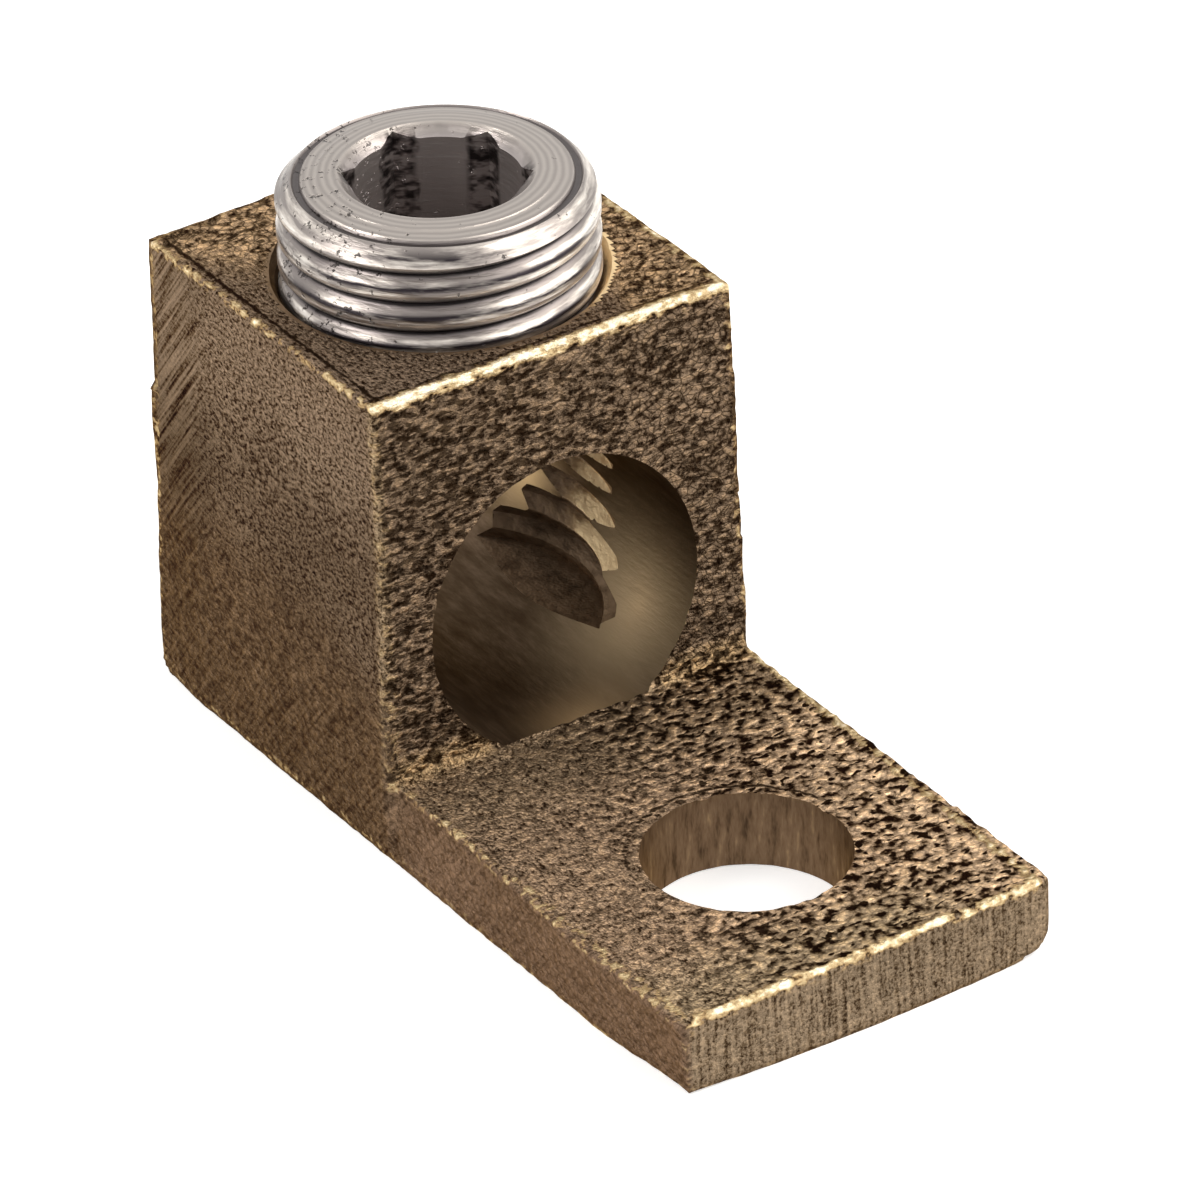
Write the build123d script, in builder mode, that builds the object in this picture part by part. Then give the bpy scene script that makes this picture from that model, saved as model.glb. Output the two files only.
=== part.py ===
"""Mechanical cable lug: a cast copper-alloy body with a flat stud tongue and a socket set screw.

The frame: the origin is on the stud hole's axis at the underside, +Z is up, +X points to the
tongue's free end, and the stripped cable enters the block from -X. Lengths are millimetres.
"""
import math
import os

from build123d import *

# Driving dimensions of the cast body
body_width = 20.8
block_height = 24.5
block_length = 21.3
tongue_thickness = 4.1
tongue_reach = 10.3
foot_distance = 14.9

# Draft that lets the casting leave its mould, in degrees
front_draft = 3.0
back_draft = 0.8
side_draft = 0.6

# Edges of the casting: sharp arrises, one long underside edge rolled over, soft tongue corners
arris_radius = 0.35
rolled_edge_radius = 1.7
back_edge_radius = 0.9
tongue_corner_radius = 0.9

# Holes in the body
stud_hole_diameter = 10.3
cable_bore_diameter = 15.4
cable_bore_height = 10.55
tapping_drill_diameter = 14.8
hole_floor_height = 4.7
hole_point_angle = 160.0
thread_end_height = 6.3
mouth_chamfer = 0.35

# Thread, 16 turns to the inch
thread_pitch = 25.4 / 16
thread_diameter = 15.8
thread_clearance = 0.06
crest_flat = thread_pitch / 6
thread_angle = 60.0
thread_depth = 0.6 * thread_pitch
lead_turns = 0.21

# Set screw
screw_length = 11.5
screw_stand = 5.4
top_land_diameter = 14.2
top_chamfer_height = 0.6
crown_height = 0.35
crown_radius = 6.8
ring_outer_radius = 6.55
ring_inner_radius = 5.86
ring_step = 0.06
tip_chamfer_height = 0.9
socket_across_flats = 8.0
socket_depth = 6.0
socket_turn = -5.3
pilot_diameter = 8.35
pilot_depth = 6.6
pilot_point_angle = 118.0
countersink_diameter = 9.7
countersink_depth = 0.5

# Places that follow from the dimensions above
x_front = -foot_distance
x_back = x_front - block_length
screw_x = x_front - block_length / 2
screw_top = block_height + screw_stand
screw_tip = screw_top - screw_length
land_height = screw_top - crown_height
thread_radius = thread_diameter / 2
core_radius = thread_radius - thread_depth
tapped_radius = thread_radius + thread_clearance
drill_radius = tapping_drill_diameter / 2
cut_overrun = 2.0


def cone_height(radius, point_angle):
    """Height of a drill point of the given radius and included angle."""
    return radius / math.tan(math.radians(point_angle / 2))


def upright_plane(x):
    """Drawing plane through the line above (x, 0): local x runs along +X and local y along +Z."""
    return Plane(origin=(x, 0, 0), x_dir=(1, 0, 0), z_dir=(0, -1, 0))


# The casting: its side view drawn once, then carried across the width
with BuildPart() as lug_body:
    front_lean = (block_height - tongue_thickness) * math.tan(math.radians(front_draft))
    back_lean = block_height * math.tan(math.radians(back_draft))
    with BuildSketch(upright_plane(0)) as side_view:
        with BuildLine():
            Polyline(
                (x_back, 0),
                (tongue_reach, 0),
                (tongue_reach, tongue_thickness),
                (x_front, tongue_thickness),
                (x_front - front_lean, block_height),
                (x_back + back_lean, block_height),
                close=True,
            )
        make_face()
    extrude(amount=body_width / 2, both=True)
    draft(lug_body.faces().filter_by(Axis.Y), Plane.XY, side_draft)

    # Edges of the raw casting, taken before any hole is machined
    long_edges = lug_body.edges().filter_by(Axis.X)
    rolled_edge = long_edges.group_by(Axis.Z)[0].sort_by(Axis.Y)[-1]
    fillet(rolled_edge, rolled_edge_radius)
    tongue_corners = lug_body.edges().group_by(Axis.X)[-1].filter_by(
        lambda edge: abs(edge.tangent_at(0.5).Z) > 0.9
    )
    fillet(tongue_corners.sort_by(Axis.Y)[-1], tongue_corner_radius)
    back_foot = lug_body.edges().filter_by(Axis.Y).group_by(Axis.Z)[0].sort_by(Axis.X)[0]
    fillet(back_foot, back_edge_radius)
    top_rim = lug_body.faces().sort_by(Axis.Z)[-1].edges()
    fillet(top_rim, arris_radius)

    # Stud hole through the tongue
    with Locations((0, 0, tongue_thickness)):
        Hole(stud_hole_diameter / 2)

    # Tapped hole with a chamfered mouth, crossing the cable bore and ending in a shallow drill point
    hole_tip = hole_floor_height - cone_height(drill_radius, hole_point_angle)
    with BuildSketch(upright_plane(screw_x)):
        with BuildLine():
            Polyline(
                (0, block_height + cut_overrun),
                (tapped_radius + mouth_chamfer, block_height + cut_overrun),
                (tapped_radius + mouth_chamfer, block_height),
                (tapped_radius, block_height - mouth_chamfer),
                (tapped_radius, thread_end_height + thread_depth),
                (drill_radius, thread_end_height),
                (drill_radius, hole_floor_height),
                (0, hole_tip),
                close=True,
            )
        make_face()
    revolve(axis=Axis((screw_x, 0, 0), (0, 0, 1)), mode=Mode.SUBTRACT)

    # Cable bore: drilled from both ends until the halves meet under the screw, each half keeping
    # its own wall face. The front half ends at the foot of the front face.
    with BuildSketch(Plane.YZ.offset(screw_x)) as bore_section:
        with Locations((0, cable_bore_height)):
            Circle(cable_bore_diameter / 2)
    back_half = block_length / 2 + cut_overrun
    extrude(bore_section.sketch, amount=-back_half, mode=Mode.SUBTRACT, clean=False)
    extrude(bore_section.sketch, amount=block_length / 2, mode=Mode.SUBTRACT, clean=False)
lug_body.part.label = "lug_body"


# The set screw: a core, one helical ridge, a chamfered blank that trims it, and the socket
with BuildPart() as set_screw:
    screw_plane = upright_plane(screw_x)
    screw_axis = Axis((screw_x, 0, 0), (0, 0, 1))
    with BuildSketch(Plane.XY.offset(screw_tip)):
        with Locations((screw_x, 0)):
            Circle(core_radius)
    extrude(amount=screw_length)

    # The ridge starts more than a turn below the tip and ends a turn above the top
    ridge_start = screw_tip - (1 + lead_turns) * thread_pitch
    ridge_height = screw_length + (2 + lead_turns) * thread_pitch
    flank_width = thread_depth * math.tan(math.radians(thread_angle / 2))
    root_half_width = crest_flat / 2 + flank_width
    root_overlap = 0.15
    with BuildLine() as ridge_path:
        Helix(thread_pitch, ridge_height, core_radius, center=(screw_x, 0, ridge_start))
    ridge_line = ridge_path.line
    with BuildSketch(Plane(origin=ridge_line @ 0, x_dir=(1, 0, 0), z_dir=ridge_line % 0)):
        with BuildLine():
            Polyline(
                (-root_overlap, -root_half_width),
                (0, -root_half_width),
                (thread_depth, -crest_flat / 2),
                (thread_depth, crest_flat / 2),
                (0, root_half_width),
                (-root_overlap, root_half_width),
                close=True,
            )
        make_face()
    sweep(path=ridge_line, is_frenet=True)

    # Blank with a chamfered top land and a chamfered tip
    with BuildSketch(screw_plane):
        with BuildLine():
            Polyline(
                (0, screw_tip),
                (thread_radius - tip_chamfer_height, screw_tip),
                (thread_radius, screw_tip + tip_chamfer_height),
                (thread_radius, land_height - top_chamfer_height),
                (top_land_diameter / 2, land_height),
                (0, land_height),
                close=True,
            )
        make_face()
    revolve(axis=screw_axis, mode=Mode.INTERSECT)

    # Crown turned on the top: it rises to the socket's rim in two small steps
    ring_slope = (crown_height - 2 * ring_step) / 3
    with BuildSketch(screw_plane):
        with BuildLine():
            Polyline(
                (0, land_height - crown_height),
                (crown_radius, land_height - crown_height),
                (crown_radius, land_height),
                (ring_outer_radius, land_height + ring_slope),
                (ring_outer_radius, land_height + ring_slope + ring_step),
                (ring_inner_radius, land_height + 2 * ring_slope + ring_step),
                (ring_inner_radius, screw_top - ring_slope),
                (countersink_diameter / 2, screw_top),
                (0, screw_top),
                close=True,
            )
        make_face()
    revolve(axis=screw_axis)

    # Pilot drilled a little wider than the flats, with a countersunk mouth
    pilot_radius = pilot_diameter / 2
    with BuildSketch(screw_plane):
        with BuildLine():
            Polyline(
                (0, screw_top),
                (countersink_diameter / 2, screw_top),
                (pilot_radius, screw_top - countersink_depth),
                (pilot_radius, screw_top - pilot_depth),
                (0, screw_top - pilot_depth - cone_height(pilot_radius, pilot_point_angle)),
                close=True,
            )
        make_face()
    revolve(axis=screw_axis, mode=Mode.SUBTRACT)

    # Hexagon broached through the pilot
    with BuildSketch(Plane.XY.offset(screw_top)):
        with Locations((screw_x, 0)):
            RegularPolygon(socket_across_flats / 2, 6, major_radius=False, rotation=socket_turn)
    extrude(amount=-socket_depth, mode=Mode.SUBTRACT)
set_screw.part.label = "set_screw"


os.makedirs("parts", exist_ok=True)
export_step(lug_body.part, "parts/lug_body.step")
export_step(set_screw.part, "parts/set_screw.step")
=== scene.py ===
"""Looks of a mechanical cable lug: a sand cast bronze body and a turned steel set screw."""

import math

import bmesh
import bpy
import numpy as np
from mathutils import Matrix, Vector, noise
from mathutils.bvhtree import BVHTree
from mathutils.kdtree import KDTree


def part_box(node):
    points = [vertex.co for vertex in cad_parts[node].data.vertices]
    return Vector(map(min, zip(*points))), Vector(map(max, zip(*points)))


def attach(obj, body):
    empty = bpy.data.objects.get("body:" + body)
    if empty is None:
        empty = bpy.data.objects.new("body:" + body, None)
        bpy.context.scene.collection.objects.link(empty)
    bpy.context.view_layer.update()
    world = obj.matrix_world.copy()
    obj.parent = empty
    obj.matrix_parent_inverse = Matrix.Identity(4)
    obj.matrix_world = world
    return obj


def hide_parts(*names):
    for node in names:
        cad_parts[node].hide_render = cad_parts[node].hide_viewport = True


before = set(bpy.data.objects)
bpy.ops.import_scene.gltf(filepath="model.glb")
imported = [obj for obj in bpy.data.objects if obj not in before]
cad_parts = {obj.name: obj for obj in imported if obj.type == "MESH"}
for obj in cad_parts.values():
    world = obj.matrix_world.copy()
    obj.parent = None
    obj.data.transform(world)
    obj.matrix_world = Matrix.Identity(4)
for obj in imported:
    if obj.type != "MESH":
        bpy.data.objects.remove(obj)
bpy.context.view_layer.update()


# The lug body is one sand casting in a copper alloy: a block with a flat tongue. The grain of the
# sand stays on its faces, the long sides were rubbed on a belt, and the tongue's end was sawn.
mm = 0.001
body_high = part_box("lug_body")[1]
back_x = -36.2 * mm
foot_x = -14.9 * mm
end_x = body_high.x
half_width = 10.4 * mm
tongue_top = 4.1 * mm
block_top = body_high.z
front_lean = 1.07 * mm
back_lean = 0.34 * mm
side_lean = 0.257 * mm
screw_x = (back_x + foot_x) / 2
bore_radius = 7.7
bore_height = 10.55
stud_radius = 5.15
mouth_radius = 8.5


def deselect():
    """Leaves object mode with nothing selected."""
    if bpy.context.object and bpy.context.object.mode != "OBJECT":
        bpy.ops.object.mode_set(mode="OBJECT")
    bpy.ops.object.select_all(action="DESELECT")


def work_on(piece, mode="OBJECT"):
    """Makes a piece the only selected one, in the given mode."""
    deselect()
    piece.select_set(True)
    bpy.context.view_layer.objects.active = piece
    if mode != "OBJECT":
        bpy.ops.object.mode_set(mode=mode)


def pick(kind, test):
    """In edit mode, selects only the vertices, edges or faces that pass a test."""
    bpy.ops.mesh.select_mode(type=kind)
    bpy.ops.mesh.select_all(action="DESELECT")
    mesh = bmesh.from_edit_mesh(bpy.context.object.data)
    for part in {"VERT": mesh.verts, "EDGE": mesh.edges, "FACE": mesh.faces}[kind]:
        if test(part):
            part.select_set(True)
    mesh.select_flush_mode()
    bmesh.update_edit_mesh(bpy.context.object.data)


def modify(piece, kind, **settings):
    """Adds a modifier with its settings and applies it."""
    work_on(piece)
    modifier = piece.modifiers.new(kind.lower(), kind)
    for name, value in settings.items():
        setattr(modifier, name, value)
    bpy.ops.object.modifier_apply(modifier=modifier.name)


def between(edge, low, high):
    """Whether both ends of an edge lie in a box."""
    return all(low[i] <= v.co[i] <= high[i] for v in edge.verts for i in range(3))


deselect()
bpy.ops.mesh.primitive_cube_add(
    size=1,
    location=((back_x + end_x) / 2, 0, tongue_top / 2),
    scale=(end_x - back_x, 2 * half_width, tongue_top),
)
casting = bpy.context.object
casting.name = "lug_casting"
casting.data.name = "lug_casting"
bpy.ops.object.transform_apply(location=True, rotation=False, scale=True)

# The block stands on the tongue's slab, cut across at the foot
work_on(casting, "EDIT")
bpy.ops.mesh.select_all(action="SELECT")
bpy.ops.mesh.bisect(plane_co=(foot_x, 0, 0), plane_no=(1, 0, 0))
pick("FACE", lambda f: f.normal.z > 0.9 and f.calc_center_median().x < foot_x)
bpy.ops.mesh.extrude_region_move(TRANSFORM_OT_translate={"value": (0, 0, block_top - tongue_top)})

# Draft of the front, the back and the two sides
pick("VERT", lambda v: v.co.z > 20 * mm and v.co.x > screw_x)
bpy.ops.transform.translate(value=(-front_lean, 0, 0))
pick("VERT", lambda v: v.co.z > 20 * mm and v.co.x < screw_x)
bpy.ops.transform.translate(value=(back_lean, 0, 0))
pick("VERT", lambda v: v.co.z > 20 * mm)
bpy.ops.transform.resize(
    value=(1, 1 - side_lean / half_width, 1), center_override=(0, 0, block_top)
)

# Rolled long edge underneath, soft back foot and tongue corner, and a worn arris all round
pick("EDGE", lambda e: between(e, (-1, 10 * mm, -mm), (1, 1, 0.1 * mm)))
bpy.ops.mesh.bevel(offset=1.3 * mm, segments=6, affect="EDGES")
pick("EDGE", lambda e: between(e, (end_x - 0.1 * mm, 9 * mm, 1.6 * mm), (1, 1, 1)))
bpy.ops.mesh.bevel(offset=0.6 * mm, segments=4, affect="EDGES")
pick("EDGE", lambda e: between(e, (-1, -1, -mm), (back_x + 0.1 * mm, 1, 0.1 * mm)))
bpy.ops.mesh.bevel(offset=0.9 * mm, segments=4, affect="EDGES")
deselect()

blank_tree = BVHTree.FromPolygons(
    [v.co.copy() for v in casting.data.vertices],
    [list(p.vertices) for p in casting.data.polygons],
)

# Skin fine enough to carry the sand grain
modify(casting, "REMESH", mode="VOXEL", voxel_size=0.24 * mm)


def along(points, start, end):
    """Distance of each point from a straight line between two corners, in mm."""
    start, end = np.array(start), np.array(end)
    run = end - start
    part = np.clip((points - start) @ run / (run @ run), 0, 1)
    return np.linalg.norm(points - start - part[:, None] * run, axis=1)


def soft(value, low, high):
    """A smooth step from 0 at low to 1 at high."""
    t = np.clip((value - low) / (high - low), 0, 1)
    return t * t * (3 - 2 * t)


def wander(points, size, seed=0.0):
    """Smooth noise from about -1 to 1 whose lumps are of the given size in mm."""
    shift = Vector((seed, 2 * seed, 3 * seed))
    return np.array([noise.noise(Vector(p) / size + shift) for p in points])


def spots(piece):
    """Places of a piece's vertices, in mm."""
    points = np.zeros(len(piece.data.vertices) * 3)
    piece.data.vertices.foreach_get("co", points)
    return points.reshape(-1, 3) / mm


# Corner points of the blank in mm, for the wear along its arrises
back_top, front_top, wide_top = -35.86, -15.97, 10.14
corner = {
    "foot_left": (-14.9, -10.36, 4.1),
    "foot_right": (-14.9, 10.36, 4.1),
    "front_left": (front_top, -wide_top, 24.5),
    "front_right": (front_top, wide_top, 24.5),
    "back_left": (back_top, -wide_top, 24.5),
    "back_right": (back_top, wide_top, 24.5),
    "end_left": (10.3, -10.36, 4.1),
    "end_right": (10.3, 9.6, 4.1),
    "low_back_left": (-36.0, -10.4, 0.5),
    "low_end_left": (10.3, -10.4, 0.0),
    "low_end_right": (10.3, 8.8, 0.0),
    "low_back_right": (-36.0, 8.8, 0.3),
}
# Each arris: its two corners, how brightly it is rubbed, with a painted highlight, the rubbed width
# in mm, and how crumbled
arrises = [
    ("front_left", "front_right", 1.0, 0.36, 1.0),
    ("front_left", "back_left", 0.42, 0.20, 0.8),
    ("front_right", "back_right", 0.60, 0.24, 0.5),
    ("back_left", "back_right", 0.25, 0.20, 0.5),
    ("front_left", "foot_left", 0.12, 0.40, 0.6),
    ("front_right", "foot_right", 0.25, 0.20, 0.4),
    ("back_left", "low_back_left", 0.25, 0.20, 0.3),
    ("back_right", "low_back_right", 0.25, 0.20, 0.5),
    ("foot_left", "end_left", 0.30, 0.24, 0.6),
    ("foot_right", "end_right", 0.60, 0.24, 0.6),
    ("end_left", "end_right", 0.85, 0.28, 0.9),
    ("end_left", "low_end_left", 0.16, 0.20, 0.3),
    ("low_back_left", "low_end_left", 0.24, 0.15, 0.2),
    ("low_end_left", "low_end_right", 0.28, 0.14, 0.3),
    ("low_back_left", "low_back_right", 0.20, 0.20, 0.5),
]


def zones_of(points, normals):
    """How much of each surface lies at each point: pebbly cast, sawn, ground and worn arris."""
    x, y, z = points.T
    nx, ny, nz = normals.T
    drift = wander(points, 4.0, 3.1)
    front = soft(nx, 0.5, 0.8) * (x < 0)
    end = soft(nx, 0.5, 0.8) * (x > 5)
    left, right, back = soft(-ny, 0.5, 0.8), soft(ny, 0.5, 0.8), soft(-nx, 0.5, 0.8)
    up, under = soft(nz, 0.5, 0.8), soft(-nz, 0.5, 0.8)
    top, tongue = up * (z > 15), up * (z < 15)
    # On the top, the front left quarter round the screw was rubbed smooth
    rough_top = soft(-(x + 27.5) * 0.8 + (y + 3.5) * 0.62 + 1.5 * drift, -1.5, 1.5)
    rough_top = np.maximum(rough_top, soft(y + 1.2 * drift, 4.5, 6.0))
    # On the long left side, the foot of the block and the tongue's edge kept a coarser grain
    low_left = soft(11.5 - z - 0.12 * (x + 36) + 2.5 * drift, -3.0, 3.5)
    coarse = soft(y + 0.35 * x + 2.5 * drift, -9.0, 1.0)
    pebbly = 0.8 * front + tongue * (0.4 + 0.6 * coarse)
    pebbly = pebbly + 0.8 * top * rough_top + 0.5 * left * low_left
    pebbly = pebbly + 0.4 * back + 0.35 * right + 0.25 * under + 0.15 * end
    streaks = np.maximum(soft(6.5 - z + 1.5 * drift, -2.5, 2.5), soft(-31.5 - x + drift, -2.0, 2.0))
    ground = left * streaks + 0.6 * right * streaks
    # The casting isn't true: its left side bellies out low down, and the tongue's end at its foot
    block = soft(-14.4 - x, 0, 0.8)
    belly = block * soft(18 - z, 0, 15) * (0.4 + 0.6 * soft(x + 36.5, 0, 5))
    low_belly = soft(12 - x, 1, 10) * np.clip(1 - z / 4.1, 0, 1)
    high_belly = soft(x, -10, 2) * np.clip(z / 4.1, 0, 1)
    belly = left * (belly + (1 - block) * (low_belly + high_belly))
    belly = belly + 0.5 * right * soft(z, 4, 20) * block
    belly = belly + 0.8 * end * np.clip(1 - z / 4.1, 0, 1) * np.clip(1 - (y / 10.4) ** 2, 0, 1)
    wear, gleam, groove, band = np.zeros((4, len(points)))
    for a, b, bright, width, crumbled in arrises:
        away = along(points, corner[a], corner[b])
        wear = np.maximum(wear, crumbled * np.exp(-((away / 0.42) ** 2)))
        gleam = np.maximum(gleam, bright * np.exp(-((away / width) ** 2)))
        # The belt turned up a small burr on the top's front and left, with a crack behind it
        if a == "front_left" and b in ("front_right", "back_left"):
            groove = np.maximum(groove, top * np.exp(-(((away - 0.62) / 0.20) ** 2)))
        # The front's left arris was rounded over by the belt, a dull tan band
        if b == "foot_left":
            band = np.exp(-((away / 0.34) ** 2)) * (0.25 + 0.75 * soft(z, 7, 13))
    # A painted shade line runs round the back of the stud hole, just outside its rim
    rim_shade = np.exp(-(((np.hypot(x, y) - 5.8) / 0.17) ** 2)) * soft(-x, -1, 2.5)
    groove = np.maximum(groove, tongue * rim_shade)
    gleam = gleam * (0.85 + 0.4 * wander(points, 1.7, 9.2))
    # Metal swelled up in the corner between the front and the tongue, on each side of the bore
    foot = np.exp(-(((x + 14.7) / 0.5) ** 2)) * soft(5.6 - z, 0, 0.8) * soft(np.abs(y), 4.2, 5.4)
    foot = foot * (front + tongue)
    belly = belly + 0.35 * foot
    # Its back stands nearly upright, and its top swells towards the back
    belly = belly + 0.8 * back * soft(z, 6, 16)
    belly = belly + 0.7 * top * soft(-30 - x, 0, 5) * np.clip(1 - (y / 10.2) ** 2, 0, 1)
    return {
        "gleam": gleam,
        "groove": groove,
        "foot": foot,
        "band": band,
        "calm": left * np.maximum(0.4 * low_left, soft(x, -16, -13)),
        "creviced": front * soft(2 - y + 1.5 * drift, -2, 4),
        "cracked": (
            0.75 * top * rough_top
            + 0.4 * left * low_left
            + 0.45 * tongue
            + front * (0.45 + 0.4 * soft(y, -1, 6))
        ),
        "front": front,
        "end": end,
        "left": left,
        "right": right,
        "back": back,
        "top": top,
        "tongue": tongue,
        "under": under,
        "rough_top": rough_top,
        "low_left": low_left,
        "pebbly": np.clip(pebbly, 0, 1),
        "ground": np.clip(ground, 0, 1),
        "wear": wear,
        "belly": np.clip(belly + 0.25 * wear, 0, 1),
    }


def weigh(piece, name, weights):
    """Writes a vertex group with these weights."""
    group = piece.vertex_groups.new(name=name)
    for i, w in enumerate(weights):
        if w > 0.01:
            group.add([i], float(w), "REPLACE")


def linear(hex_colour):
    """An sRGB hex colour as linear red, green and blue."""
    channels = [int(hex_colour[i : i + 2], 16) / 255 for i in (0, 2, 4)]
    return [c / 12.92 if c <= 0.04045 else ((c + 0.055) / 1.055) ** 2.4 for c in channels]


def paint(piece, name, values):
    """Writes a number, or a colour, on each vertex of a piece."""
    kind = "FLOAT" if values.ndim == 1 else "FLOAT_COLOR"
    layer = piece.data.attributes.new(name, kind, "POINT")
    if values.ndim == 1:
        layer.data.foreach_set("value", values.astype(np.float32))
    else:
        full = np.ones((len(values), 4), np.float32)
        full[:, :3] = values
        layer.data.foreach_set("color", full.ravel())


places = spots(casting)
lie = np.array([blank_tree.find_nearest(Vector(p) * mm)[1] for p in places])
zones = zones_of(places, lie)


def laid(colours):
    """Colour of each point: the named zones' colours laid one over the other."""
    total = np.tile(np.array(linear("5d4a38")), (len(places), 1))
    for weight, hex_colour in colours:
        weight = np.clip(weight, 0, 1)[:, None]
        total = total * (1 - weight) + np.array(linear(hex_colour)) * weight
    return total


height_here, run_here = places[:, 2], places[:, 0]
tone = laid(
    (
        (zones["left"], "5c5046"),
        (zones["left"] * soft(height_here, 13, 21), "73665b"),
        (zones["left"] * zones["low_left"], "655547"),
        (zones["left"] * soft(run_here, -16, -12), "776456"),
        (zones["front"], "726457"),
        (zones["top"], "75675b"),
        (zones["top"] * zones["rough_top"], "ab957d"),
        (zones["tongue"], "a18d7a"),
        (zones["tongue"] * soft(run_here, 4, 9), "a5957f"),
        (zones["tongue"] * soft(places[:, 1], 2, 9), "bba690"),
        (zones["tongue"] * soft(-run_here, 6, 12), "93826f"),
        (zones["end"], "7c6f60"),
        (zones["right"], "5a4835"),
        (zones["back"], "5c4935"),
        (zones["under"], "604c38"),
        (zones["foot"], "a08c70"),
        (0.75 * zones["band"], "96866f"),
    )
)
painted_zones = ("pebbly", "ground", "end", "gleam", "groove", "cracked", "creviced", "calm")
finish = {name: zones[name] for name in painted_zones}
finish["tone"] = tone * (1 + 0.18 * wander(places, 5.0, 7.7)[:, None])
weigh(casting, "pebbly", zones["pebbly"])
weigh(casting, "wear", zones["wear"])
cast_faces = np.clip(zones["front"] + zones["tongue"] + zones["top"] * zones["rough_top"], 0, 1)
weigh(casting, "pitted", cast_faces)
weigh(casting, "belly", zones["belly"])
modify(casting, "DISPLACE", vertex_group="belly", strength=0.5 * mm, mid_level=0)
true_places = spots(casting)


def relief(name, kind, size, **settings):
    """A procedural texture whose lumps are of the given size in mm, for a Displace modifier."""
    texture = bpy.data.textures.new(name, kind)
    texture.noise_scale = size * mm
    for key, value in settings.items():
        setattr(texture, key, value)
    return texture


undulation = relief("undulation", "CLOUDS", 6.0, noise_depth=1)
sand = relief("sand_grain", "CLOUDS", 0.8, noise_depth=2, contrast=1.6)
pits = relief("gas_pits", "VORONOI", 1.5, use_color_ramp=True)
pits.color_ramp.elements[0].position = 0.05
pits.color_ramp.elements[0].color = (0, 0, 0, 1)
pits.color_ramp.elements[1].position = 0.30
pits.color_ramp.elements[1].color = (1, 1, 1, 1)
crumble = relief("crumbled_arris", "CLOUDS", 0.75, noise_depth=2, contrast=2.0)
for texture, group, depth, middle in (
    (undulation, "", 0.07, 0.5),
    (sand, "pebbly", 0.11, 0.5),
    (pits, "pitted", 0.22, 1.0),
    (crumble, "wear", 0.15, 0.6),
):
    modify(
        casting,
        "DISPLACE",
        texture=texture,
        texture_coords="LOCAL",
        vertex_group=group,
        strength=depth * mm,
        mid_level=middle,
    )
casting.vertex_groups.clear()
grown = spots(casting)
# How far each point sank in the relief; the bronze darkens the deep ones as painted shade
finish["dip"] = ((grown - true_places) * lie).sum(axis=1)


def drawn_line(name, points, centre=(0, 0, 0)):
    """An open line of edges in an upright plane, drawn by extruding a vertex point by point."""
    deselect()
    bpy.ops.mesh.primitive_plane_add(size=mm, location=centre)
    line = bpy.context.object
    line.name = name
    bpy.ops.object.mode_set(mode="EDIT")
    bpy.ops.mesh.select_mode(type="VERT")
    bpy.ops.mesh.select_all(action="SELECT")
    bpy.ops.mesh.merge(type="CENTER")
    bpy.ops.transform.translate(value=(points[0][0] * mm, 0, points[0][1] * mm))
    for (radius, height), (next_radius, next_height) in zip(points, points[1:]):
        step = ((next_radius - radius) * mm, 0, (next_height - height) * mm)
        bpy.ops.mesh.extrude_region_move(TRANSFORM_OT_translate={"value": step})
    bpy.ops.object.mode_set(mode="OBJECT")
    return line


def turned(name, points, centre_x, sides):
    """A solid turned about an upright axis, from its half profile in mm, radius first."""
    piece = drawn_line(name, points, (centre_x, 0, 0))
    modify(
        piece, "SCREW", steps=sides, render_steps=sides, angle=math.tau, use_merge_vertices=True,
        merge_threshold=1e-6,
    )
    bpy.ops.object.transform_apply(location=True, rotation=False, scale=False)
    work_on(piece, "EDIT")
    bpy.ops.mesh.select_all(action="SELECT")
    bpy.ops.mesh.remove_doubles(threshold=2e-6)
    bpy.ops.mesh.normals_make_consistent(inside=False)
    deselect()
    return piece


pitch = 25.4 / 16
screw_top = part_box("set_screw")[1].z / mm
screw_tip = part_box("set_screw")[0].z / mm
thread_radius = 7.9
thread_depth = 0.52
core_radius = thread_radius - thread_depth
ridge_height = screw_tip - 1.21 * pitch


def thread_row(depth, crest, flank, rounding):
    """One pitch of thread, as heights above the ridge's middle and radii above the core."""
    row = []
    half = pitch / 2
    for height in np.linspace(-half, half, 17):
        t = (crest / 2 + flank - abs(height)) / flank
        low, high = -rounding, 1 + rounding
        if t <= low:
            share = 0.0
        elif t < rounding:
            share = (t - low) ** 2 / (4 * rounding)
        elif t <= 1 - rounding:
            share = t
        elif t < high:
            share = 1 - (high - t) ** 2 / (4 * rounding)
        else:
            share = 1.0
        row.append((float(height), depth * share))
    return row


def threaded(name, root, row, start, turns, sides):
    """A closed rod with a right-hand helical ridge, its ends drawn to points on the axis."""
    points = [(root + rise, start + height) for height, rise in row]
    rod = drawn_line(name, points, (screw_x, 0, 0))
    modify(
        rod, "SCREW", steps=sides, render_steps=sides, angle=math.tau, screw_offset=pitch * mm,
        iterations=turns,
    )
    bpy.ops.object.transform_apply(location=True, rotation=False, scale=False)
    work_on(rod, "EDIT")
    bpy.ops.mesh.select_all(action="SELECT")
    bpy.ops.mesh.remove_doubles(threshold=2e-6)
    middle = (start + turns * pitch / 2) * mm
    for upper in (False, True):
        pick("EDGE", lambda e: e.is_boundary and (e.verts[0].co.z > middle) == upper)
        bpy.ops.mesh.extrude_region_move(TRANSFORM_OT_translate={"value": (0, 0, 0)})
        tip = (start + turns * pitch + 1) * mm if upper else (start - 1) * mm
        bpy.ops.transform.resize(value=(1e-4, 1e-4, 1e-4), center_override=(screw_x, 0, tip))
        bpy.ops.mesh.merge(type="CENTER")
    bpy.ops.mesh.select_all(action="SELECT")
    bpy.ops.mesh.normals_make_consistent(inside=False)
    deselect()
    return rod


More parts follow.
